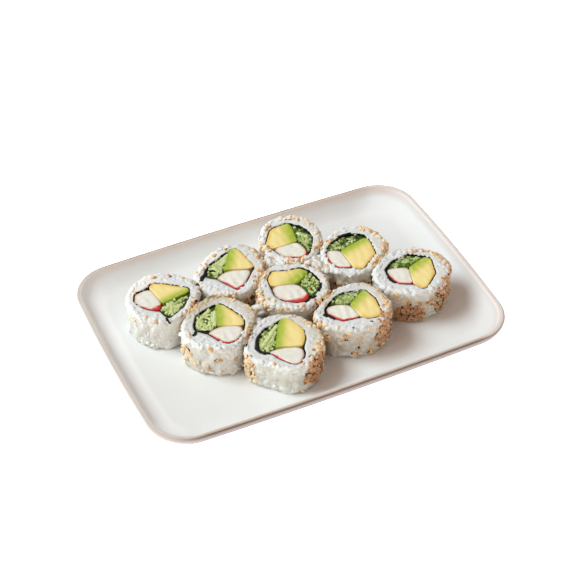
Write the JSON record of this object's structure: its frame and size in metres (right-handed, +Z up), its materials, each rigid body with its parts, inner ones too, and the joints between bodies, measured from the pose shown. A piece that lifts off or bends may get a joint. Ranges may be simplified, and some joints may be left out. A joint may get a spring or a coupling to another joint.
{
  "type": "california roll on a plate",
  "caption": "Shallow rectangular stoneware plate that serves cut pieces of inside-out roll: sesame rice round seaweed, avocado, crab stick and cucumber.",
  "frame": {"origin": "centre of the plate's flat underside, on the surface that it stands on", "axes": "+X along the plate's length, +Y across it, +Z up"},
  "size_m": [0.2146, 0.1468, 0.0283],
  "materials": {
    "plate": "satin white glaze with a bare tan lip",
    "rice": "moist white cooked rice",
    "sesame": "toasted sesame seed",
    "nori": "dark green-black dried seaweed, softened",
    "avocado": "smooth yellow flesh that turns green at one side",
    "crab": "white crab stick with red skin, moist",
    "cucumber": "wet pale green strips with dark green skin"
  },
  "bodies": {
    "root": {"plate": "plate", "roll_1_rice": "rice", "roll_1_nori": "nori", "roll_1_avocado": "avocado", "roll_1_crab": "crab", "roll_1_cucumber": "cucumber", "roll_2_rice": "rice", "roll_2_nori": "nori", "roll_2_avocado": "avocado", "roll_2_crab": "crab", "roll_2_cucumber": "cucumber", "roll_3_rice": "rice", "roll_3_nori": "nori", "roll_3_avocado": "avocado", "roll_3_crab": "crab", "roll_3_cucumber": "cucumber", "roll_4_rice": "rice", "roll_4_nori": "nori", "roll_4_avocado": "avocado", "roll_4_crab": "crab", "roll_4_cucumber": "cucumber", "roll_5_rice": "rice", "roll_5_nori": "nori", "roll_5_avocado": "avocado", "roll_5_crab": "crab", "roll_5_cucumber": "cucumber", "roll_6_rice": "rice", "roll_6_nori": "nori", "roll_6_avocado": "avocado", "roll_6_crab": "crab", "roll_6_cucumber": "cucumber", "roll_7_rice": "rice", "roll_7_nori": "nori", "roll_7_avocado": "avocado", "roll_7_crab": "crab", "roll_7_cucumber": "cucumber", "roll_8_rice": "rice", "roll_8_nori": "nori", "roll_8_avocado": "avocado", "roll_8_crab": "crab", "roll_8_cucumber": "cucumber", "roll_9_rice": "rice", "roll_9_nori": "nori", "roll_9_avocado": "avocado", "roll_9_crab": "crab", "roll_9_cucumber": "cucumber"}
  },
  "joints": []
}
